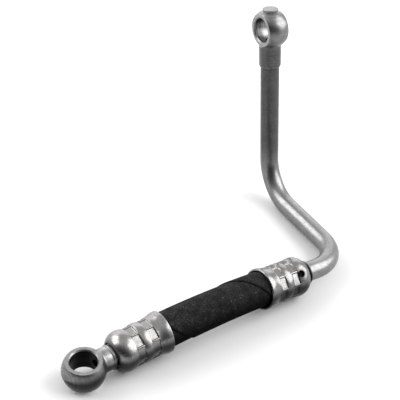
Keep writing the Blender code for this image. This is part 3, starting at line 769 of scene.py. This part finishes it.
# %% [markdown]
# ## The banjo eyes
#
# A banjo eye is turned from bar: a ball, a fillet and a stem. Then it is milled flat on two sides and
# bored across, and the sealing washers press on the two flats. The lathe shape is a spun profile, and
# the milling is a Boolean with one spun cutter that holds the flats, the bore and all their chamfers.

# %% Eyes
BALL_RADIUS = 0.0083
BALL_FILLET = 0.0018
STEM_RADIUS = 0.00465
BORE_RADIUS = 0.0051
EYE_HALF_WIDTH = 0.0047
BORE_CHAMFER = 0.0005
MILL_REACH = 0.0090
MILL_RADIUS = 0.0098
TAIL_RADIUS = 0.0033
BARB_RADIUS = 0.0036
BARB_PITCH = 0.0036
BARBS = 4
SPIGOT_RADIUS = 0.0027
DRILLED_RADIUS = 0.0019
LATHE_FACES = 144
FILLET_STEPS = 12


def arc(radius, start, end, steps):
    return [(radius * cos(start + (end - start) * i / steps), radius * sin(start + (end - start) * i / steps))
            for i in range(steps + 1)]


def ball_outline(start_angle):
    """From the far pole, or from the nub's neck, round the ball and through its fillet to the stem."""
    centre_radius = STEM_RADIUS + BALL_FILLET
    centre_station = sqrt((BALL_RADIUS + BALL_FILLET) ** 2 - centre_radius ** 2)
    meeting = atan2(centre_radius, centre_station)
    points = arc(BALL_RADIUS, start_angle, meeting, 64)
    for i in range(1, FILLET_STEPS + 1):
        angle = meeting + pi + (pi / 2.0 - meeting) * i / FILLET_STEPS
        points.append((centre_station + BALL_FILLET * cos(angle), centre_radius + BALL_FILLET * sin(angle)))
    return points


def bore_cutter():
    """All that the mill takes away, as one loop round the bore's axis."""
    half = EYE_HALF_WIDTH
    flats = [(-MILL_REACH, 0.0), (-MILL_REACH, MILL_RADIUS), (-half, MILL_RADIUS)]
    side = flats + [(-half, BORE_RADIUS + BORE_CHAMFER), (-half + BORE_CHAMFER, BORE_RADIUS)]
    return side + [(-station, radius) for station, radius in reversed(side)]


def make_eye(name, node, profile, origin, forward, bore, finish):
    body = turned(name, profile, LATHE_FACES)
    body.transform(placing(origin, forward, bore))
    cutter = turned(name + "_mill", bore_cutter(), LATHE_FACES)
    cutter.transform(placing(origin, bore, forward))
    finish_piece(name, milled(body, cutter), finish, node)


def barbed_tail(start, end):
    """The tail that holds the hose: shallow saw teeth that point away from the hose's end."""
    points = [(start, STEM_RADIUS), (start, TAIL_RADIUS)]
    for index in range(BARBS):
        crest = end - (BARBS - 0.5 - index) * BARB_PITCH
        points += [(crest, BARB_RADIUS), (crest + BARB_PITCH / 2.0, TAIL_RADIUS)]
    points[-1] = (end, TAIL_RADIUS)
    return points


def lower_eye_profile():
    """Ball and stem, a bead and a recess beside the ferrule's nose, and the tail, drilled for the oil."""
    bead = [(0.0104, STEM_RADIUS), (0.0105, 0.00490), (0.0107, 0.0050), (0.0109, 0.0050), (0.0110, 0.0049),
            (0.0110, 0.00435), (0.0126, 0.00435), (0.0126, STEM_RADIUS)]
    tail_start, tail_end = 0.0133, 0.0309
    tail = barbed_tail(tail_start, tail_end)
    return ball_outline(pi) + bead + tail + [(tail_end, DRILLED_RADIUS), (0.0, DRILLED_RADIUS), (0.0, 0.0)]


def upper_eye_profile():
    """The disc that the parting tool left on top, the ball, and a neck with a spigot for the tube."""
    nub_top, nub_radius, nub_neck = 0.0087, 0.0033, 0.00315
    nub_edge, nub_height = 0.0001, 0.0004
    start = pi - asin(nub_neck / BALL_RADIUS)
    nub = [(-nub_top, 0.0), (-nub_top, nub_radius - nub_edge), (-nub_top + nub_edge, nub_radius),
           (-nub_top + nub_height, nub_radius), (-nub_top + nub_height, nub_neck)]
    neck_end, spigot_end = 0.0170, 0.0210
    neck = [(0.0157, STEM_RADIUS), (0.0159, STEM_RADIUS - 0.00003), (neck_end, 0.0041),
            (neck_end, SPIGOT_RADIUS), (spigot_end, SPIGOT_RADIUS), (spigot_end, DRILLED_RADIUS),
            (0.0, DRILLED_RADIUS), (0.0, 0.0)]
    return nub + ball_outline(start) + neck


# %% [markdown]
# The eyes have three kinds of surface. The turned skin is dark and shows fine rings. The milled seats
# are paler. The bore's wall is painted dark as shade in the lower eye; in the upper one it is painted
# bright on its low side as a highlight and dark on its high side as shade. The lower eye also carries
# the cups' painted flank shade. The tone also changes towards the neck: the lower eye's stem is painted
# brighter as a highlight, and the upper eye's lower half and neck are painted darker as shade.

# %% Eye finish
SEAT_TONE = 1.55
SEAT_EDGE = 0.00006
NECK_STATION = 0.0095


def eye_finish(name, origin, forward, bore, bore_low, bore_high, darkest, roughness, neck_start, painted_neck_tone):
    material, tree, shader, place = start_finish(name, 1.0)
    station = around(tree, place, origin, forward)[0]
    # Painted shade on the flanks below the axis, where darkest is below 1.
    flank_shade = painted_flank_shade(tree, place, origin, forward, darkest)
    depth, bore_reach = around(tree, place, origin, bore)
    depth = math(tree, "ABSOLUTE", depth)
    on_seat = ranged(tree, depth, EYE_HALF_WIDTH - SEAT_EDGE, EYE_HALF_WIDTH - SEAT_EDGE / 2.0, 0.0, 1.0)
    in_bore = product(tree, ranged(tree, bore_reach, BORE_RADIUS + 0.00012, BORE_RADIUS + 0.00004, 0.0, 1.0),
                      ranged(tree, depth, EYE_HALF_WIDTH - 0.0003, EYE_HALF_WIDTH - BORE_CHAMFER, 0.0, 1.0))
    height = math(tree, "SUBTRACT", add_node(tree, "ShaderNodeSeparateXYZ", place)[2], origin.z)
    bore_lines = ranged(tree, lathe_lines(tree, math(tree, "MULTIPLY", depth, 0.5)), 0.35, 0.65, 0.45, 1.3)
    # Painted light and shade in the bore: the low side brighter, the high side darker.
    bore_light_and_shade = product(tree, soft_ranged(tree, height, -0.0008, 0.0018, bore_low, bore_high), bore_lines)
    lines = lathe_lines(tree, station)
    # Painted light towards the neck: a highlight on the lower eye's stem, shade on the upper eye's neck.
    neck = soft_ranged(tree, station, neck_start, NECK_STATION, 1.0, painted_neck_tone)
    turned_tone = product(tree, flank_shade, neck, ranged(tree, lines, 0.30, 0.70, 0.78, 1.22))
    skin_tone = add_node(tree, "ShaderNodeMix", on_seat, turned_tone, SEAT_TONE, data_type="FLOAT")
    shade = add_node(tree, "ShaderNodeMix", in_bore, skin_tone, bore_light_and_shade, data_type="FLOAT")
    plated_steel(tree, shader, place, (0.178, 0.178, 0.178), roughness, 0.000008, shade, lines, 0.000012)
    return material


lower_eye_steel = eye_finish("lower_eye_steel", LOWER_EYE, RISE, LOWER_BORE, bore_low=0.09, bore_high=0.09,
                             darkest=0.13, roughness=0.32, neck_start=0.0070, painted_neck_tone=1.7)
upper_eye_steel = eye_finish("upper_eye_steel", UPPER_EYE, -LEG, UPPER_BORE, bore_low=1.30, bore_high=0.22,
                             darkest=1.0, roughness=0.34, neck_start=0.0010, painted_neck_tone=0.48)
for steel in (lower_eye_steel, upper_eye_steel):
    print(steel.name, "has", len(steel.node_tree.nodes), "nodes")
make_eye("lower_eye", "lower_banjo_eye", lower_eye_profile(), LOWER_EYE, RISE, LOWER_BORE, lower_eye_steel)
make_eye("upper_eye", "upper_banjo_eye", upper_eye_profile(), UPPER_EYE, -LEG, UPPER_BORE, upper_eye_steel)

# %% [markdown]
# ## The hose nipple
#
# At the upper end the hose is pushed onto a nipple, and the tube is brazed onto the nipple's other end.
# Only its collar shows, between the cup and the tube: a bead and a shallow recess. The tail could be
# left out, because the cup hides it, but the solid has it and so has the real part. So the whole nipple
# is one more turned profile, with the same barbed tail as the lower eye, and drilled through for the oil.

# %% Hose nipple
def nipple_profile():
    """Spigot for the tube, collar with its bead and recess, and the barbed tail."""
    collar_end, tail_end, spigot_end = -0.0022, 0.0190, -0.0062
    outside = [(collar_end, 0.0041), (-0.0020, 0.0047), (-0.0017, 0.0050), (-0.0013, 0.0050),
               (-0.0010, 0.0047), (-0.0009, 0.00445), (-0.0003, 0.00445), (-0.0003, STEM_RADIUS)]
    spigot = [(spigot_end, DRILLED_RADIUS), (spigot_end, SPIGOT_RADIUS), (collar_end, SPIGOT_RADIUS)]
    return spigot + outside + barbed_tail(0.0014, tail_end) + [(tail_end, DRILLED_RADIUS)]


nipple = turned("hose_nipple_collar", nipple_profile(), 96)
nipple.transform(placing(UPPER_NOSE, -FALL, BOW))
finish_piece("nipple_collar", nipple, upper_cup_steel, "hose_nipple")

# %% [markdown]
# ## Floor
#
# The part lies on a plain sheet of matt white paper, as product studios use. Without it the part would
# hang in the air. A curved sheet would hide the horizon too, but one wide flat square is simpler, and it
# shows the part's soft shadow just as well.

# %% Floor
FLOOR_WHITE = 0.66
FLOOR_REACH = 3.0


def floor_finish():
    material = bpy.data.materials.new("white_paper")
    material.use_nodes = True
    shader = material.node_tree.nodes["Principled BSDF"]
    shader.inputs["Base Color"].default_value = (FLOOR_WHITE, FLOOR_WHITE, FLOOR_WHITE, 1.0)
    shader.inputs["Roughness"].default_value = 1.0
    shader.inputs["Specular IOR Level"].default_value = 0.0
    return material


def make_floor():
    corners = [(-FLOOR_REACH, -FLOOR_REACH, 0.0), (FLOOR_REACH, -FLOOR_REACH, 0.0),
               (FLOOR_REACH, FLOOR_REACH, 0.0), (-FLOOR_REACH, FLOOR_REACH, 0.0)]
    floor_mesh = bpy.data.meshes.new("floor")
    floor_mesh.from_pydata(corners, [], [(0, 1, 2, 3)])
    floor_mesh.materials.append(floor_finish())
    floor = bpy.data.objects.new("floor", floor_mesh)
    bpy.context.scene.collection.objects.link(floor)
    print("floor is", 2.0 * FLOOR_REACH, "m wide")


make_floor()

# %% [markdown]
# ## Lamps
#
# Metal shows what stands round it, so a metal part is lit by choosing what it mirrors. Three soft boxes
# stand low round the part: one on the right, one on the left, and a wide one behind. No lamp stands on
# the side of the camera, which gives the round pieces their dark flanks.

# %% Lamps
LAMP_AIM = Vector((0.0, 0.0, 0.03))


def make_lamp(name, azimuth, elevation, distance, width, height, radiance):
    """A soft box that faces the part. Its power follows from how bright its face has to be."""
    data = bpy.data.lights.new(name, "AREA")
    data.shape = "RECTANGLE"
    data.size, data.size_y = width, height
    data.energy = radiance * pi * width * height
    lamp = bpy.data.objects.new(name, data)
    bpy.context.scene.collection.objects.link(lamp)
    turn, rise = radians(azimuth), radians(elevation)
    out = Vector((cos(turn) * cos(rise), sin(turn) * cos(rise), sin(rise)))
    face = out.to_track_quat("Z", "Y").to_matrix().to_4x4()
    lamp.matrix_world = Matrix.Translation(LAMP_AIM + out * distance) @ face
    lamp.visible_camera = False
    print(name, "gives", round(data.energy, 1), "W")


make_lamp("right_box", -32.0, 38.0, 1.2, 1.15, 1.10, 4.2)
make_lamp("left_box", 128.0, 33.0, 1.2, 1.2, 0.90, 4.2)
make_lamp("back_box", 58.0, 18.0, 1.5, 1.9, 1.2, 1.3)

# %% [markdown]
# ## World
#
# The world is the room round the soft boxes. It could be one even grey, but then round metal would have
# no dark side. So it is plain white light from most sides and fades to nearly black on one side, as a
# studio does where no lamp stands. A Map Range node makes that fade from the angle between a direction
# and the dark side, so there is no edge for the metal to mirror.

# %% World
DARK_SIDE = Vector((cos(radians(-140.0)), sin(radians(-140.0)), -0.35)).normalized()
WORLD_STRENGTH = 1.05
ROOM_WHITE = (1.0, 1.0, 1.0, 1.0)
ROOM_DARK = (0.05, 0.05, 0.05, 1.0)


def make_world():
    world = bpy.data.worlds.new("studio")
    bpy.context.scene.world = world
    world.use_nodes = True
    tree = world.node_tree
    tree.nodes.clear()
    direction = add_node(tree, "ShaderNodeTexCoord")[0]
    towards = vector_math(tree, "DOT_PRODUCT", direction, tuple(DARK_SIDE))
    dark = soft_ranged(tree, towards, -0.15, 0.65, 0.0, 1.0)
    colour = add_node(tree, "ShaderNodeMix", dark, ROOM_WHITE, ROOM_DARK, data_type="RGBA")
    back = add_node(tree, "ShaderNodeBackground", colour, WORLD_STRENGTH)
    tree.links.new(back, tree.nodes.new("ShaderNodeOutputWorld").inputs[0])
    print("world has", len(tree.nodes), "nodes")


make_world()
bpy.context.scene.view_settings.view_transform = "Standard"
